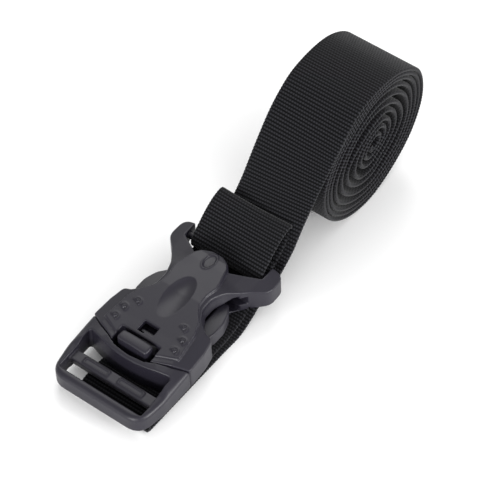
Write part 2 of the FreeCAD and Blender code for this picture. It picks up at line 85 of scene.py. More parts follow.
def plastic(name, colour, roughness):
    """Matt moulded plastic with a fine spark-eroded grain."""
    mat, nodes, links, shader = material(name, colour, roughness, 0.32)
    place = node(nodes, "ShaderNodeTexCoord")
    grain = node(nodes, "ShaderNodeTexNoise", Scale=2300.0, Detail=3.0, Roughness=0.6)
    cloud = node(nodes, "ShaderNodeTexNoise", Scale=60.0, Detail=4.0, Roughness=0.55)
    links.new(place.outputs["Object"], grain.inputs["Vector"])
    links.new(place.outputs["Object"], cloud.inputs["Vector"])
    tone = node(nodes, "ShaderNodeMix", data_type="RGBA")
    tone.inputs["A"].default_value = (*[c * 0.9 for c in colour], 1.0)
    tone.inputs["B"].default_value = (*[c * 1.12 for c in colour], 1.0)
    links.new(cloud.outputs["Fac"], tone.inputs["Factor"])
    links.new(tone.outputs["Result"], shader.inputs["Base Color"])
    rough = node(nodes, "ShaderNodeMapRange")
    rough.inputs["To Min"].default_value = roughness - 0.06
    rough.inputs["To Max"].default_value = roughness + 0.06
    links.new(cloud.outputs["Fac"], rough.inputs["Value"])
    links.new(rough.outputs["Result"], shader.inputs["Roughness"])
    bump = node(nodes, "ShaderNodeBump", Strength=0.22, Distance=0.00012)
    links.new(grain.outputs["Fac"], bump.inputs["Height"])
    links.new(bump.outputs["Normal"], shader.inputs["Normal"])
    return mat


RIB = 2.03  # pitch of the webbing's ribs, mm
YARN = 1.75  # pitch of the yarns across the webbing, mm


def woven():
    """Ribbed webbing: each rib is crossed by a row of yarns, staggered from row to row. Its colour carries
    painted shade, near-black in the grooves between ribs and yarns and the webbing's dark grey on their tops.
    """
    mat, nodes, links, shader = material("webbing_weave_painted_shade", (0.02, 0.02, 0.022), 0.8, 0.03)
    lay = node(nodes, "ShaderNodeAttribute", attribute_name="lay")
    split = node(nodes, "ShaderNodeSeparateXYZ")
    links.new(lay.outputs["Vector"], split.inputs["Vector"])

    def maths(operation, a, b=None):
        item = node(nodes, "ShaderNodeMath", operation=operation)
        for socket, value in zip(item.inputs, (a, b)):
            if value is None:
                continue
            if isinstance(value, (int, float)):
                socket.default_value = value
            else:
                links.new(value, socket)
        return item.outputs[0]

    along, across = split.outputs["X"], split.outputs["Y"]
    rib = maths("DIVIDE", along, RIB)
    stagger = maths("MULTIPLY", maths("MODULO", maths("FLOOR", rib), 2.0), 0.5)
    yarn = maths("ADD", maths("DIVIDE", across, YARN), stagger)
    swell = maths("ABSOLUTE", maths("SINE", maths("MULTIPLY", yarn, math.pi)))
    ridge = maths("ABSOLUTE", maths("SINE", maths("MULTIPLY", rib, math.pi)))
    beads = maths("ADD", maths("MULTIPLY", maths("POWER", swell, 0.6), 0.5), 0.5)
    height = maths("MULTIPLY", beads, maths("POWER", ridge, 0.9))
    place = node(nodes, "ShaderNodeTexCoord")
    fibre = node(nodes, "ShaderNodeTexNoise", Scale=1500.0, Detail=3.0, Roughness=0.7)
    links.new(place.outputs["Object"], fibre.inputs["Vector"])
    rough_height = maths("ADD", height, maths("MULTIPLY", fibre.outputs["Fac"], 0.35))
    bump = node(nodes, "ShaderNodeBump", Strength=0.85, Distance=0.00035)
    links.new(rough_height, bump.inputs["Height"])
    links.new(bump.outputs["Normal"], shader.inputs["Normal"])
    # Painted shade: the colour falls to near-black in the grooves between the ribs and between the yarns,
    # following the rib height.
    tone = node(nodes, "ShaderNodeMix", data_type="RGBA")
    tone.inputs["A"].default_value = (0.0006, 0.0006, 0.0008, 1.0)
    tone.inputs["B"].default_value = (0.025, 0.025, 0.029, 1.0)
    shader.inputs["Sheen Weight"].default_value = 0.11
    shader.inputs["Sheen Roughness"].default_value = 0.5
    links.new(maths("POWER", height, 2.6), tone.inputs["Factor"])
    links.new(tone.outputs["Result"], shader.inputs["Base Color"])
    return mat


def painted_floor():
    mat, nodes, links, shader = material("floor_paint", (0.97, 0.97, 0.97), 0.9)
    place = node(nodes, "ShaderNodeTexCoord")
    cloud = node(nodes, "ShaderNodeTexNoise", Scale=3.0)
    links.new(place.outputs["Object"], cloud.inputs["Vector"])
    tone = node(nodes, "ShaderNodeMix", data_type="RGBA")
    tone.inputs["A"].default_value = (0.965, 0.965, 0.965, 1.0)
    tone.inputs["B"].default_value = (0.975, 0.975, 0.975, 1.0)
    links.new(cloud.outputs["Fac"], tone.inputs["Factor"])
    links.new(tone.outputs["Result"], shader.inputs["Base Color"])
    return mat


PLASTIC = plastic("buckle_plastic", (0.0122, 0.0110, 0.0172), 0.41)
PAD_PLASTIC = plastic("plug_plastic", (0.0122, 0.0110, 0.0172), 0.41)
THREAD = plastic("thread", (0.016, 0.016, 0.018), 0.75)
WEAVE = woven()


# ---------------------------------------------------------------- floor and light
def plane(name, half, height):
    mesh = bpy.data.meshes.new(name)
    corners = [(-half, -half, height), (half, -half, height), (half, half, height), (-half, half, height)]
    mesh.from_pydata(corners, [], [(0, 1, 2, 3)])
    return link(bpy.data.objects.new(name, mesh))


floor = plane("floor", 6.0, -0.0002)
floor.data.materials.append(painted_floor())


def softbox(name, place, aim, size, power):
    lamp = bpy.data.lights.new(name, "AREA")
    lamp.shape = "RECTANGLE"
    lamp.size, lamp.size_y = size
    lamp.energy = power
    item = link(bpy.data.objects.new(name, lamp))
    item.location = place
    item.rotation_euler = (Vector(aim) - Vector(place)).to_track_quat("-Z", "Y").to_euler()
    return item


softbox("left front", (-1.65, -0.3, 0.36), (-0.05, 0, 0.02), (1.0, 0.5), 27.0)
softbox("right front", (0.15, -1.7, 0.42), (0, 0, 0.02), (1.0, 0.5), 30.0)
softbox("behind", (1.0, 0.8, 1.5), (0, 0, 0), (1.0, 1.0), 13.0)
world = bpy.data.worlds.new("studio")
scene.world = world
world.use_nodes = True
world.node_tree.nodes["Background"].inputs["Color"].default_value = (1.0, 1.0, 1.0, 1.0)
world.node_tree.nodes["Background"].inputs["Strength"].default_value = 0.76
scene.view_settings.view_transform = "Standard"


# ---------------------------------------------------------------- smooth lines
def flow(points, step):
    """A smooth line through the points, even steps along it. Columns after the second ride along."""
    points = np.asarray(points, float)
    gaps = np.hypot(*np.diff(points[:, :2], axis=0).T)
    where = np.concatenate([[0.0], np.cumsum(gaps)])
    slope = np.gradient(points, where, axis=0)
    fine = np.linspace(0.0, where[-1], int(where[-1] / step * 3) + 2)
    part = np.clip(np.searchsorted(where, fine, side="right") - 1, 0, len(gaps) - 1)
    width = gaps[part][:, None]
    t = ((fine - where[part]) / gaps[part])[:, None]
    line = ((2 * t**3 - 3 * t**2 + 1) * points[part] + (t**3 - 2 * t**2 + t) * width * slope[part]
            + (3 * t**2 - 2 * t**3) * points[part + 1] + (t**3 - t**2) * width * slope[part + 1])
    run = np.concatenate([[0.0], np.cumsum(np.hypot(*np.diff(line[:, :2], axis=0).T))])
    even = np.linspace(0.0, run[-1], int(round(run[-1] / step)) + 1)
    return np.stack([np.interp(even, run, line[:, i]) for i in range(line.shape[1])], 1)


# ---------------------------------------------------------------- the strap
# Distance of each turn of the roll from its eye, outermost turn first, at every angle in degrees
# from the top left round by the right. The roll is lower than it is wide.
FLATTEN = 0.87
CLOCK = [120, 90, 60, 30, 0, -30, -60, -90, -120, -150, -180, -210]
TURNS = [
    [None, 50.5, 53.0, 53.9, 51.2, 49.0, 48.5, 51.4, 51.4, 49.7, 47.2, 44.7],
    [44.8, 47.6, 50.2, 50.8, 47.8, 46.0, 45.3, 47.6, 47.8, 46.5, 44.1, 41.9],
    [41.6, 44.9, 47.5, 47.3, 43.9, 42.3, 41.7, 44.0, 44.2, 43.0, 40.4, 37.8],
    [38.3, 41.9, 43.4, 42.6, 39.7, 38.3, 37.4, 39.4, 39.5, 38.5, 35.3, 32.0],
    [33.3, 35.5, 37.2, 37.5, 36.0, 34.0, 32.4, 34.6, 34.0, 32.3, 29.8, 28.0],
    [28.6, 30.4, 31.0, 31.0, 30.3, 26.7, 25.0, 27.6, 27.6, 26.0, 24.0, 20.0],
    [18.4, 20.6, 25.0, 25.4, 23.6, 20.4, 19.4, 22.0, 22.4, 19.0, 15.8, 14.0],
    [13.6, 15.6, 19.0, 19.6, 17.6, 14.0, 13.0, 14.6, 14.6, 12.4, 10.2, 9.2],
    [9.4, 11.0, 13.8, 14.6, 12.6, 9.4, 8.2, 8.8, 8.6, 7.4, 6.0, 5.2],
    [5.4, 6.4, 8.6, 9.2, 7.6, 5.0, 4.0, 3.8],
]
EYE_X, EYE_Z = 213.5, 46.0
roll = []
for turn_sizes in TURNS:
    for hour, reach in zip(CLOCK, turn_sizes):
        if reach is not None:
            angle = math.radians(hour)
            across, up = reach * math.cos(angle), FLATTEN * reach * math.sin(angle)
            roll.append((EYE_X + across, EYE_Z + up, 0.0, 0.0))
roll.append((213.0, 47.5, 0.0, 0.0))

LAY_DOWN, LAY_UP = 0.95, 3.1  # heights of the strap's middle on the floor, below and above the fold
# X, Z, how much higher the left edge is than the right, and how far the middle bulges up.
LEAD = [(86, LAY_DOWN, 0, 0), (94.4, 4.2, 0, 0.2), (102.4, 8.6, -0.6, 0.4), (112.4, 12.6, -1.4, 0.4),
        (124.3, 17.4, -1.6, 0.2), (129.2, 20.4, -2.5, 0), (134.9, 24.8, -2.9, -0.2),
        (142.5, 32.8, -5.4, -0.5), (147.2, 37.7, -6.6, -0.6), (152.9, 43.6, -6.6, -0.7),
        (161.3, 53.4, -4.6, -0.6), (170.7, 63.9, -1.4, -0.3), (180, 73.4, 1.2, 0),
        (189.3, 81.4, 0.6, 0), (198.6, 87.1, 0, 0)]
BACK = [(2.0, LAY_UP, 0, 0), (30, LAY_UP, 0, 0), (60, LAY_UP, 0, 0), (86, LAY_UP + 0.1, 0, 0),
        (95, 5.6, 0, 0), (103, 9.2, -0.4, 0), (111.4, 13.4, -1.0, 0), (121, 16.4, -1.8, 0),
        (128, 20.6, -2.6, 0), (134, 25.6, -3.2, 0), (139.5, 31.0, -3.0, 0.2),
        (143.0, 34.8, -1.5, 0.5), (141.0, 38.1, -0.4, 0.9),
        (136, 38.1, 0, 1.2), (127, 34.7, 0, 1.3), (119.4, 29.3, 0, 1.0)]
# The rear bar in the buckle's own directions, then in the belt's.
BAR_S, BAR_H, BAR_RADIUS = 115.0, 10.4, 2.3
BAR_X = BAR_S * math.cos(TILT) - BAR_H * math.sin(TILT)
BAR_Z = BAR_S * math.sin(TILT) + BAR_H * math.cos(TILT) + REST
WRAP = 3.65  # radius of the strap's middle line round the bar
for degrees in range(140, 271, 26):
    angle = math.radians(degrees)
    hump = 0.3 if degrees < 180 else 0
    BACK.append((BAR_X + WRAP * math.cos(angle), BAR_Z + WRAP * math.sin(angle), 0, hump))
# The tail behind the bar, which the stitches hold: it leaves the bar and rises under the loop.
TAIL_X, TAIL_Z = BAR_X + 4.5, BAR_Z - 1.8
TAIL_RUN, TAIL_CLIMB = 6.0, 4.0
BACK += [(TAIL_X, TAIL_Z, 0, 0), (TAIL_X + TAIL_RUN, TAIL_Z + TAIL_CLIMB, 0, 0)]
# The fold under the plug, from the strap on the floor to the strap on top of it.
FOLD_X, FOLD_Z, FOLD_R = 2.0, 2.025, 1.075
fold = [(FOLD_X - FOLD_R * math.sin(math.radians(a)), FOLD_Z - FOLD_R * math.cos(math.radians(a)), 0, 0)
        for a in (0, 45, 90, 135, 180)]
flat = [(x, LAY_DOWN, 0, 0) for x in (70, 50, 30, 12)]
FOLD_Y, LEAD_VEER, BACK_VEER = -7.0, 0.0113, 0.052


def side_of(x, layer):
    """Y of the strap's middle line: the lead and roll run nearly straight, the return veers left."""
    return FOLD_Y + np.where(layer > 0, BACK_VEER * x, LEAD_VEER * x)


lower = flow(roll[::-1] + LEAD[::-1] + flat, 0.1)
upper = flow(fold + BACK[1:], 0.1)
STRAP_WIDTH, STRAP_THICK, ROLL_THICK = 50.0, 1.58, 2.3
STRAP_HALF = STRAP_WIDTH / 2
ROLL_RUN = 1000.0  # how far from the inner end the turns are pressed together
BETWEEN = 0.42  # what the ribs of two turns need between the turns
BEND = 14.0  # a stretch of strap this short isn't a neighbour of itself
FAR = 9.0  # a gap so wide that nothing presses


def strap_line():
    """Every step of the strap: its place, the left edge's rise and the bulge; its Y; its run."""
    lay_a = np.column_stack([lower, np.zeros(len(lower))])
    lay_b = np.column_stack([upper, np.ones(len(upper))])
    joined = np.vstack([lay_a, lay_b[1:]])
    layer = np.clip((np.arange(len(joined)) - len(lower) + 1) / 60.0, 0, 1)
    y = side_of(joined[:, 0], 0) * (1 - layer) + side_of(joined[:, 0], 1) * layer
    run = np.concatenate([[0.0], np.cumsum(np.hypot(*np.diff(joined[:, :2], axis=0).T))])
    return joined, y, run


def strap_mesh(name):
    joined, y_mid, run = strap_line()
    step = RIB / 6.0
    u = np.arange(math.floor(run[-1] / step) + 1) * step
    x, z, rise, bulge = (np.interp(u, run, joined[:, i]) for i in range(4))
    y = np.interp(u, run, y_mid)
    tx, ty, tz = np.gradient(x, u), np.gradient(y, u), np.gradient(z, u)
    along = np.column_stack([tx, ty, tz])
    along /= np.linalg.norm(along, axis=1)[:, None]
    cross = np.column_stack([0 * u, np.full(len(u), STRAP_WIDTH), rise])
    cross /= np.linalg.norm(cross, axis=1)[:, None]
    up = np.cross(along, cross)
    up /= np.linalg.norm(up, axis=1)[:, None]
    # Each turn of the roll is pressed against the next, so the webbing fills the space between them.
    gap = np.full(len(u), FAR)
    wound = np.flatnonzero((u < ROLL_RUN) & (np.arange(len(u)) % 3 == 0))
    for part in np.array_split(wound, 12):
        apart = np.hypot(x[part][:, None] - x[wound][None], z[part][:, None] - z[wound][None])
        apart[np.abs(u[part][:, None] - u[wound][None]) < BEND] = FAR
        gap[part] = apart.min(1)
    gap = np.interp(u, u[wound], gap[wound], right=FAR)
    full = np.clip(gap - BETWEEN, STRAP_THICK, ROLL_THICK)
    full = np.convolve(np.pad(full, 30, mode="edge"), np.ones(61) / 61, mode="valid")
    # Section of the strap: round selvedges, then the two ribbed faces.
    half = full[:, None] / 2
    face_half = STRAP_HALF - 1.0
    face = np.linspace(-1, 1, 9) * face_half
    edge = np.radians([30, 62, 90, 118, 150])
    ring_y = np.concatenate([face, face_half + np.sin(edge), face[::-1], -face_half - np.sin(edge)])
    ring_h = np.concatenate([np.ones(9), np.cos(edge), -np.ones(9), -np.cos(edge)])
    ring_rib = np.concatenate([np.ones(9), 0.8 * np.ones(5), np.ones(9), 0.8 * np.ones(5)])
    ridge = np.abs(np.sin(math.pi * u / RIB)) ** 0.75 - 0.55
    swell = 0.33 * ridge[:, None] * ring_rib[None, :]
    depth = (half + swell) * ring_h[None, :]
    at_edge = np.where(np.abs(ring_y) > STRAP_HALF - 0.9, 0.7, 0.0)
    breadth = ring_y[None, :] + at_edge * swell * np.sign(ring_y)
    depth = depth + bulge[:, None] * (1 - (ring_y / STRAP_HALF) ** 2)[None, :]
    centre = np.column_stack([x, y, z])
    spots = (centre[:, None, :] + cross[:, None, :] * breadth[..., None] + up[:, None, :] * depth[..., None])
    rows, cols = breadth.shape
    index = np.arange(rows * cols).reshape(rows, cols)
    nxt = np.roll(index, -1, axis=1)
    quads = np.stack([index[:-1], nxt[:-1], nxt[1:], index[1:]], -1).reshape(-1, 4).tolist()
    quads.append(index[0][::-1].tolist())
    quads.append(index[-1].tolist())
    spots = spots.reshape(-1, 3) - (MIDDLE, 0, 0)
    mesh = bpy.data.meshes.new(name)
    mesh.from_pydata((spots * MM).tolist(), [], quads)
    lay = mesh.attributes.new("lay", "FLOAT_VECTOR", "POINT")
    data = np.zeros((rows * cols, 3), np.float32)
    data[:, 0] = np.repeat(u, cols)
    data[:, 1] = np.tile(ring_y, rows)
    lay.data.foreach_set("vector", data.ravel())
    mesh.polygons.foreach_set("use_smooth", [True] * len(mesh.polygons))
    mesh.materials.append(WEAVE)
    mesh.update()
    return link(bpy.data.objects.new(name, mesh)), u[-1]


strap, strap_length = strap_mesh("strap")
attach(strap, "webbing")
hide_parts("webbing_roll", "webbing_lead", "webbing_base", "webbing_return", "webbing_loop")
print("%-16s length %.1f mm" % ("strap", strap_length))

# ---------------------------------------------------------------- moulded solids
# Each moulded piece is worked out as a field of distances, negative inside the plastic, on a fine
# grid in the buckle's own directions: s along it, y to its left, h up from its underside.
GRID = 0.44


def union(a, b, r=0.0):
    if r == 0.0:
        return np.minimum(a, b)
    mix = np.clip(0.5 + 0.5 * (b - a) / r, 0, 1)
    return b + (a - b) * mix - r * mix * (1 - mix)


def both(a, b, r=0.0):
    """What lies in both, with an edge of radius r."""
    if r == 0.0:
        return np.maximum(a, b)
    return np.minimum(np.maximum(a, b), -r) + np.hypot(np.maximum(a + r, 0), np.maximum(b + r, 0))


def cut(a, b, r=0.0):
    """a without b, with an edge of radius r."""
    return both(a, -b, r)


def smooth(a, low, high):
    t = np.clip((a - low) / (high - low), 0, 1)
    return t * t * (3 - 2 * t)


def corners(points, bends=9):
    """A closed line round points (s, y, radius), each corner rounded."""
    line = []
    count = len(points)
    for i, (x, y, radius) in enumerate(points):
        here = np.array((x, y), float)
        back = np.array(points[i - 1][:2], float) - here
        ahead = np.array(points[(i + 1) % count][:2], float) - here
        back_long, ahead_long = np.hypot(*back), np.hypot(*ahead)
        back, ahead = back / back_long, ahead / ahead_long
        half = math.acos(float(np.clip(back @ ahead, -1, 1))) / 2
        if radius <= 0 or half > 1.55:
            line.append(here)
            continue
        reach = min(radius / math.tan(half), 0.49 * back_long, 0.49 * ahead_long)
        for t in np.linspace(0, 1, bends):
            a, b = here + back * reach * (1 - t), here + ahead * reach * t
            line.append(a * (1 - t) + b * t)
    return np.array(line)


def mirrored(half):
    return half + [(s, -y, r) for s, y, r in reversed(half)]


class Block:
    """A grid round one piece. Fields that don't vary in one direction stay thin in it."""

    def __init__(self, low, high):
        self.low = np.array(low, float)
        counts = np.ceil((np.array(high) - self.low) / GRID).astype(int) + 1
        axes = [(self.low[i] + GRID * np.arange(counts[i])).astype(np.float32) for i in range(3)]
        self.s = axes[0][:, None, None]
        self.y = axes[1][None, :, None]
        self.h = axes[2][None, None, :]
        self.shape = tuple(counts)

    def outline(self, points, bends=9):
        """Distance from a closed line in s and y, negative inside."""
        line = corners(points, bends)
        px, py = (a.astype(np.float32) for a in np.broadcast_arrays(self.s[..., 0], self.y[..., 0]))
        near = np.full(px.shape, 1e9, np.float32)
        inside = np.zeros(px.shape, bool)
        for (ax, ay), (bx, by) in zip(line, np.roll(line, -1, axis=0)):
            ex, ey = bx - ax, by - ay
            long2 = ex * ex + ey * ey
            if long2 < 1e-12:
                continue
            wx, wy = px - ax, py - ay
            t = np.clip((wx * ex + wy * ey) / long2, 0, 1)
            near = np.minimum(near, (wx - ex * t) ** 2 + (wy - ey * t) ** 2)
            if ay != by:
                crosses = ((ay > py) != (by > py)) & (wx < ex * wy / ey)
                inside ^= crosses
        return (np.sqrt(near) * np.where(inside, -1, 1))[..., None]

    def box(self, s0, s1, y0, y1, h0, h1, r=0.0):
        s, y, h = self.s, self.y, self.h
        flat_s = np.maximum(s0 - s, s - s1)
        flat_y = np.maximum(y0 - y, y - y1)
        return both(both(flat_s, flat_y, r), np.maximum(h0 - h, h - h1), r)

    def skin(self, name, field, mat):
        """The piece's closed surface, its corners set between the grid's points."""
        field = np.broadcast_to(field, self.shape).astype(np.float32)
        solid = field < 0
        nx, ny, nz = (n - 1 for n in field.shape)
        steps = [(a, b, c) for a in (0, 1) for b in (0, 1) for c in (0, 1)]
        filled = sum(solid[a:a + nx, b:b + ny, c:c + nz].astype(np.int8) for a, b, c in steps)
        cells = np.argwhere((filled > 0) & (filled < 8))
        total = np.zeros((len(cells), 3))
        count = np.zeros(len(cells))
        for axis in range(3):
            for first in steps:
                if first[axis]:
                    continue
                second = list(first)
                second[axis] = 1
                f0 = field[tuple((cells + first).T)]
                f1 = field[tuple((cells + second).T)]
                hit = (f0 < 0) != (f1 < 0)
                spot = np.tile(np.array(first, float), (len(cells), 1))
                spot[:, axis] = np.where(hit, f0 / np.where(hit, f0 - f1, 1), 0)
                total[hit] += spot[hit]
                count += hit
        spots = self.low + (cells + total / count[:, None]) * GRID
        number = np.full((nx, ny, nz), -1, np.int64)
        number[tuple(cells.T)] = np.arange(len(cells))
        quads = []
        for axis in range(3):
            b, c = [i for i in range(3) if i != axis]
            here = [slice(0, n) for n in field.shape]
            there = list(here)
            here[axis], there[axis] = slice(0, -1), slice(1, None)
            first, second = solid[tuple(here)], solid[tuple(there)]
            for flip, edges in ((False, first & ~second), (True, ~first & second)):
                found = np.argwhere(edges)
                ring = []
                for db, dc in ((-1, -1), (0, -1), (0, 0), (-1, 0)):
                    shift = np.zeros(3, int)
                    shift[b], shift[c] = db, dc
                    ring.append(number[tuple((found + shift).T)])
                quad = np.stack(ring, 1)
                if flip != (axis == 1):
                    quad = quad[:, ::-1]
                quads.append(quad)
        quads = np.vstack(quads)
        s, y, h = spots.T
        x = s * math.cos(TILT) - h * math.sin(TILT) - MIDDLE
        z = REST + s * math.sin(TILT) + h * math.cos(TILT)
        mesh = bpy.data.meshes.new(name)
        mesh.from_pydata((np.column_stack([x, y, z]) * MM).tolist(), [], quads.tolist())
        mesh.polygons.foreach_set("use_smooth", [True] * len(mesh.polygons))
        mesh.materials.append(mat)
        mesh.update()
        print("%-16s triangles %d" % (name, 2 * len(quads)))
        return link(bpy.data.objects.new(name, mesh))


def place(piece, body, *nodes):
    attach(piece, body)
    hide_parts(*nodes)


def seam_s(y, shift=0.0):
    """Where the plug's edge meets the socket, nearer the end in the middle than at the sides."""
    out = np.abs(y)
    return shift + np.interp(out, [0, 9, 14, 16, 26, 34, 40], [24.0, 24.9, 26.6, 27.6, 31.6, 36.0, 39.4])


SHELL_HALF = [(120.8, 24.0, 0), (120.8, 35.7, 7.4), (107.0, 36.2, 9.0), (99.0, 28.0, 14.0),
              (88.0, 19.7, 12.0), (79.0, 16.2, 12.0), (70.5, 16.4, 7.0), (64.5, 20.0, 6.0), (60.2, 26.6, 2.0),
              (59.8, 31.4, 5.0), (50.0, 33.4, 16.0), (38.0, 34.0, 10.0), (20.0, 33.4, 0)]
PANEL_HALF = [(106.6, 3.0, 3.0), (103.6, 8.8, 3.0), (99.5, 11.6, 6.0), (86.0, 15.2, 12.0), (78.0, 13.6, 10.0),
              (70.0, 14.2, 8.0), (62.5, 20.5, 8.0), (54.0, 24.0, 8.0), (24.0, 27.8, 0)]

SLOT_HALF = [(140, 27.5, 0), (110.8, 27.5, 1.6), (100.6, 11.4, 1.2), (103.4, 9.4, 2.5), (106.5, 4.2, 4.0)]


def socket():
    block = Block((22.0, -36.6, -1.2), (122.6, 36.6, 26.0))
    s, y, h = block.s, block.y, block.h
    out = np.abs(y)
    edge = block.outline(mirrored(SHELL_HALF))
    seam_line = seam_s(y, 0.35)
    front = (seam_line - s) * 0.85
    panel = np.maximum(block.outline(mirrored(PANEL_HALF)), (seam_line + 4.2 - s) * 0.85)
    # Top: the panel, with a bevel outside it that falls to the rim and to the wings.
    panel_top = np.interp(s, [30, 44, 72, 96, 102, 107], [19.3, 20.4, 23.1, 23.3, 22.9, 21.4])
    shell_fall = np.interp(out, [0, 13.0, 19.0, 26.0, 34.0, 37.0], [23.0, 22.2, 20.2, 18.2, 15.0, 13.4])
    wing_fall = np.interp(out, [0, 9.5, 12.0, 19.0, 27.5, 36.0], [21.8, 20.8, 19.2, 17.2, 15.2, 12.6])
    fall = shell_fall + (wing_fall - shell_fall) * smooth(s, 84, 99)
    shoulder = np.minimum(panel_top - 0.9, fall)
    top = shoulder + (panel_top - shoulder) * (1 - smooth(panel, -0.35, 0.35))
    # The shallow dish for a fingertip, deeper towards the nose.
    across, along = y / 7.4, (s - 68.2) / 15.6
    hollow = np.clip(1 - across**2 - along**2, 0, 1)
    top = top - 2.9 * hollow**0.8 * (0.62 + 0.5 * along)
    # A small oval recess on the nose with a plain rim.
    oval = np.sqrt(((s - 98.6) / 5.6) ** 2 + (y / 3.3) ** 2)
    top = top - 0.7 * (1 - smooth(oval, 0.8, 0.95)) + 0.3 * np.exp(-((oval - 1.08) / 0.1) ** 2)
    # The wall at the waist leans out a little towards the pads.
    lean = 1.5 * (1 - smooth(h, 12.5, 19.5)) * smooth(s, 61, 67) * (1 - smooth(s, 84, 92))
    body = both(edge - lean, h - top, 0.9)
    body = both(body, -h, 1.0)
    body = both(body, front, 0.5)
    # Slot for the webbing.
    body = cut(body, block.outline(mirrored(SLOT_HALF)), 0.8)
    # Ways under the nose and the wings for the strap, which rises towards the bar.
    loop_way = np.maximum(h - np.minimum(0.6 + 0.57 * (s - 97), 9.9), out - 27.5)  # under the nose
    lead_way = np.maximum(h - np.minimum(0.5 + 0.47 * (s - 105), 8.0), out - 31.2)
    body = cut(body, union(loop_way, lead_way), 0.3)
    # Inside, open to the front and to the sides.
    hollow_in = block.box(10, 56, -30.6, 30.6, 2.2, 12.9, 0.4)
    for sign in (1, -1):
        for s0, s1, far in ((50, 62, 24.1), (60, 91.0, 40)):
            y0, y1 = sorted((sign * 9.6, sign * far))
            hollow_in = union(hollow_in, block.box(s0, s1, y0, y1, 2.2, 12.9, 0.3))
        # Keyed opening in the wall behind the tip of the pad.
        y0, y1 = sorted((sign * 9.0, sign * 40.0))
        hollow_in = union(hollow_in, block.box(90.2, 94.0, y0, y1, 1.0, 13.4, 0.2))
        hollow_in = union(hollow_in, block.box(93.8, 98.0, y0, y1, 5.5, 11.3, 0.2))
    hollow_in = union(hollow_in, block.box(10, 52, -11.0, 11.0, 2.2, 17.0, 0.3))
    body = cut(body, hollow_in, 0.35)
    # Notch for the button, then the catch's window with its corner step.
    body = cut(body, block.box(10, 36.8, -13.5, 13.5, 2.2, 40, 0.8), 0.5)
    body = cut(body, block.box(40.4, 46.4, -5.0, 5.0, 2.2, 40, 0.3), 0.25)
    body = cut(body, block.box(39.0, 41.0, 0.6, 5.0, 12.0, 40, 0.2), 0.2)
    # Grip dots, each with an open ring round it.
    for dot_s, dot_y in ((39.3, 21.0), (46.8, 20.5), (53.8, 16.3)):
        for sign in (1, -1):
            seat = float(np.interp(dot_s, [30, 44, 72], [19.3, 20.4, 23.1]))
            ds, dy = s - dot_s, y - sign * dot_y
            round_dot = np.sqrt(ds**2 + dy**2 + (h - seat) ** 2) - 1.2
            body = union(body, round_dot, 0.35)
            ring = np.hypot(np.hypot(ds, dy) - 2.35, h - seat) - 0.55
            ring = np.maximum(ring, -(ds * 0.94 - 0.35 * dy) - 1.2)
            body = union(body, ring, 0.3)
    bar = np.hypot(s - BAR_S, h - BAR_H) - BAR_RADIUS
    body = union(body, np.maximum(bar, out - 30), 0.5)
    return block.skin("socket", body, PLASTIC)


def frame_of_plug():
    block = Block((-7.4, -35.4, -1.2), (37.6, 35.4, 20.4))
    s, y, h = block.s, block.y, block.h
    out = np.abs(y)
    edge = block.outline(mirrored([(40.0, 34.0, 0), (12, 34.0, 40.0), (-6.5, 31.2, 11.5)]))
    side_top = np.interp(s, [-8, -3, 6, 13, 30, 37], [10.6, 11.6, 12.0, 12.7, 14.7, 15.2])
    ridge = np.interp(s, [10, 14, 19, 22.5, 30, 38], [12.0, 12.6, 15.6, 17.5, 18.6, 19.6])
    ridge = np.minimum(ridge, np.interp(out, [0, 12, 24, 34], [19.4, 19.0, 17.2, 15.0]))
    top = side_top + np.maximum(ridge - side_top, 0) * smooth(33.0 - out, -1.0, 6.0)
    body = both(edge, h - top, 3.0)
    body = both(body, -h, 1.4)
    body = both(body, (s - seam_s(y)) * 0.85, 0.45)
    # Two slots for the webbing; the second's far wall is curved and slopes.
    body = cut(body, block.box(-1.3, 7.4, -28.8, 28.8, -9, 40, 1.2), 1.1)
    far = 20.5 + 5.2 * (y / 28.2) ** 2 + 0.05 * h
    second = both(np.maximum(14.4 - s, 0.95 * (s - far)), out - 28.8, 2.6)
    body = cut(body, second, 0.8)
    # The cross bar is thinner than the rails and carries two long raised pads.
    body = cut(body, block.box(5.4, 15.4, -28.7, 28.7, 9.6, 40, 0.3), 0.5)
    body = cut(body, block.box(5.4, 15.6, -28.7, 28.7, -9, 4.9, 0.3), 0.8)
    for y0, y1 in ((-21.0, -3.2), (3.2, 21.0)):
        pad = block.box(8.9, 13.1, y0, y1, 7, 10.15, 0.4)
        body = union(body, cut(pad, block.box(9.9, 12.2, y0 + 1.2, y1 - 1.2, 9.75, 40, 0.3), 0.2), 0.25)
    # Roots of the prongs and of the centre tongue sit in recesses.
    for sign in (1, -1):
        y0, y1 = sorted((sign * 17.9, sign * 24.1))
        body = cut(body, block.box(28.4, 60, y0, y1, 2.2, 12.9))
    body = cut(body, block.box(24.9, 60, -11.0, 11.0, 2.2, 40, 0.3), 0.3)
    body = cut(body, block.box(26.2, 60, -13.5, 13.5, 9.0, 40, 0.6), 0.4)
    return block.skin("plug_rim", body, PLASTIC)


def prong(sign):
    y0, y1 = sorted((sign * 16.5, sign * 29.5))
    block = Block((27.0, y0, 1.5), (89.6, y1, 13.6))
    s, y, h = block.s, block.y, block.h
    line = [(28.8, 19.4, 0), (28.8, 23.6, 0), (60.7, 23.6, 0.8), (60.7, 26.6, 1.2), (66, 28.2, 9.0),
            (74, 28.1, 12.0), (82.0, 25.6, 12.0), (87.3, 21.6, 1.2), (86.4, 18.0, 0.8), (66, 18.2, 4.0),
            (60, 19.4, 8.0)]
    edge = block.outline([(a, sign * b, r) for a, b, r in line])
    crown = 12.4 - 0.004 * (s - 72) ** 2 * (s > 60)
    body = both(edge, h - np.maximum(crown, 10.4), 0.8)
    body = both(body, 2.9 - h, 0.6)
    return block.skin("prong_" + ("left" if sign > 0 else "right") + "_skin", body, PAD_PLASTIC)


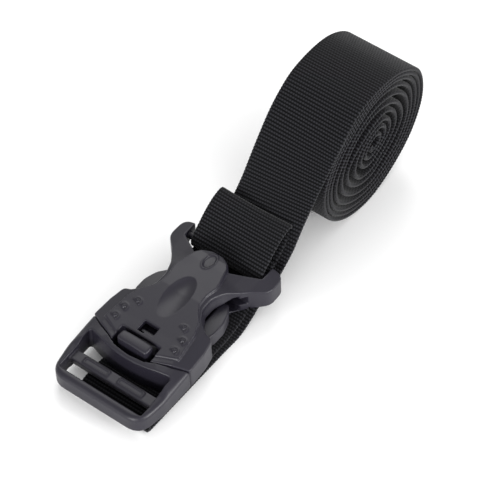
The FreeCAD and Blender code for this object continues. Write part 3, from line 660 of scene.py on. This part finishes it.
def tongue():
    block = Block((23.6, -11.6, 8.4), (51.2, 11.6, 23.6))
    s, y, h = block.s, block.y, block.h
    wide, low = 10.5, 9.6
    root = block.box(24.6, 36, -wide, wide, low, 11.4, 0.4)
    body = union(root, block.box(34, 50, -wide, wide, low, 13.2, 0.4))
    crown = 22.4 - 0.0045 * y**2 - 0.03 * (s - 30.7) ** 2
    button = both(np.maximum(27.2 - s, s - 34.2), np.abs(y) - wide, 1.8)
    button = both(button, np.maximum(low - h, h - crown), 1.25)
    body = union(body, button, 0.5)
    slope = np.interp(s, [40.9, 43.0, 45.9], [17.4, 17.0, 12.8])
    catch = both(np.maximum(40.9 - s, s - 45.9), np.maximum(h - slope, 9.8 - h), 0.3)
    body = union(body, both(catch, np.abs(y) - 4.5, 0.3), 0.2)
    return block.skin("tongue_skin", body, PAD_PLASTIC)


place(socket(), "socket", "socket_shell")
place(frame_of_plug(), "plug", "plug_frame")
place(prong(1), "prong_left", "prong_left")
place(prong(-1), "prong_right", "prong_right")
place(tongue(), "tongue", "centre_tongue")


# ---------------------------------------------------------------- stitches
STITCHES, ROWS = 10, 2
PITCH, ROW_STEP = 4.0, 2.6


def stitch_mesh():
    """One stitch: a thread that rises from the webbing, runs across it and goes back in."""
    t = np.linspace(0, math.pi, 13)
    spine = np.column_stack([np.zeros(13), -1.3 * np.cos(t), 0.62 * np.sin(t) ** 0.6 - 0.22])
    way = np.gradient(spine, axis=0)
    way /= np.linalg.norm(way, axis=1)[:, None]
    side = np.array((1.0, 0.0, 0.0))
    up = np.cross(way, side)
    turn = np.linspace(0, 2 * math.pi, 10, endpoint=False)
    ply = 0.25 + 0.03 * np.cos(3 * (turn[None, :] + 2.4 * t[:, None]))
    ring = side * np.cos(turn)[None, :, None] + up[:, None, :] * np.sin(turn)[None, :, None]
    spots = (spine[:, None, :] + ring * ply[..., None]).reshape(-1, 3)
    index = np.arange(130).reshape(13, 10)
    nxt = np.roll(index, -1, axis=1)
    quads = np.stack([index[:-1], index[1:], nxt[1:], nxt[:-1]], -1).reshape(-1, 4).tolist()
    quads += [index[0].tolist(), index[-1][::-1].tolist()]
    mesh = bpy.data.meshes.new("stitch")
    mesh.from_pydata((spots * MM).tolist(), [], quads)
    mesh.polygons.foreach_set("use_smooth", [True] * len(mesh.polygons))
    return bpy.data.objects.new("stitch", mesh)


def stitch_rows(one):
    """Rows of stitches laid out by Geometry Nodes, then kept as a plain mesh."""
    tree = bpy.data.node_groups.new("stitch rows", "GeometryNodeTree")
    face = tree.interface
    face.new_socket("Geometry", in_out="INPUT", socket_type="NodeSocketGeometry")
    for name, kind in (("Stitches", "NodeSocketInt"), ("Pitch", "NodeSocketFloat"), ("Rows", "NodeSocketInt"),
                       ("Row step", "NodeSocketVector"), ("Slant", "NodeSocketFloat")):
        face.new_socket(name, in_out="INPUT", socket_type=kind)
    face.new_socket("Geometry", in_out="OUTPUT", socket_type="NodeSocketGeometry")
    nodes, links = tree.nodes, tree.links
    given, out = nodes.new("NodeGroupInput"), nodes.new("NodeGroupOutput")
    step = nodes.new("ShaderNodeCombineXYZ")
    links.new(given.outputs["Pitch"], step.inputs["Y"])
    row = nodes.new("GeometryNodeMeshLine")
    links.new(given.outputs["Stitches"], row.inputs["Count"])
    links.new(step.outputs["Vector"], row.inputs["Offset"])
    piece = nodes.new("GeometryNodeObjectInfo")
    piece.inputs["Object"].default_value = one
    wobble = nodes.new("FunctionNodeRandomValue")
    wobble.data_type = "FLOAT_VECTOR"
    wobble.inputs["Min"].default_value = (-0.05, -0.05, -0.10)
    wobble.inputs["Max"].default_value = (0.05, 0.05, 0.10)
    wobble.inputs["Seed"].default_value = 7
    lean = nodes.new("ShaderNodeCombineXYZ")
    links.new(given.outputs["Slant"], lean.inputs["Y"])
    total = nodes.new("ShaderNodeVectorMath")
    links.new(wobble.outputs["Value"], total.inputs[0])
    links.new(lean.outputs["Vector"], total.inputs[1])
    set_out = nodes.new("GeometryNodeInstanceOnPoints")
    links.new(row.outputs["Mesh"], set_out.inputs["Points"])
    links.new(piece.outputs["Geometry"], set_out.inputs["Instance"])
    links.new(total.outputs["Vector"], set_out.inputs["Rotation"])
    rows = nodes.new("GeometryNodeMeshLine")
    links.new(given.outputs["Rows"], rows.inputs["Count"])
    links.new(given.outputs["Row step"], rows.inputs["Offset"])
    repeat = nodes.new("GeometryNodeInstanceOnPoints")
    links.new(rows.outputs["Mesh"], repeat.inputs["Points"])
    links.new(set_out.outputs["Instances"], repeat.inputs["Instance"])
    real = nodes.new("GeometryNodeRealizeInstances")
    links.new(repeat.outputs["Instances"], real.inputs["Geometry"])
    paint = nodes.new("GeometryNodeSetMaterial")
    paint.inputs["Material"].default_value = THREAD
    links.new(real.outputs["Geometry"], paint.inputs["Geometry"])
    links.new(paint.outputs["Geometry"], out.inputs["Geometry"])

    host = link(bpy.data.objects.new("stitch_rows", bpy.data.meshes.new("stitch_rows")))
    modifier = host.modifiers.new("stitch rows", "NODES")
    modifier.node_group = tree
    way = math.atan2(TAIL_CLIMB, TAIL_RUN)
    step_back = (ROW_STEP * MM * math.cos(way), BACK_VEER * ROW_STEP * MM * math.cos(way),
                 ROW_STEP * MM * math.sin(way))
    values = {"Stitches": STITCHES, "Pitch": PITCH * MM, "Rows": ROWS, "Row step": step_back, "Slant": -way}
    sockets = {item.name: item.identifier for item in face.items_tree if item.in_out == "INPUT"}
    for name, value in values.items():
        modifier[sockets[name]] = value
    bpy.context.view_layer.update()
    result = bpy.data.meshes.new_from_object(host.evaluated_get(bpy.context.evaluated_depsgraph_get()))
    host.modifiers.clear()
    # The first stitch is 2.2 mm along the tail, on its upper face, at the right end of its row.
    x = TAIL_X + 2.2 * math.cos(way) - 0.9 * math.sin(way)
    z = TAIL_Z + 2.2 * math.sin(way) + 0.9 * math.cos(way)
    y = FOLD_Y + BACK_VEER * x - PITCH * (STITCHES - 1) / 2
    result.transform(Matrix.Translation(((x - MIDDLE) * MM, y * MM, z * MM)))
    host.data = result
    return host


one_stitch = link(stitch_mesh())
stitching = stitch_rows(one_stitch)
bpy.data.objects.remove(one_stitch)
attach(stitching, "webbing")
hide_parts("stitching")
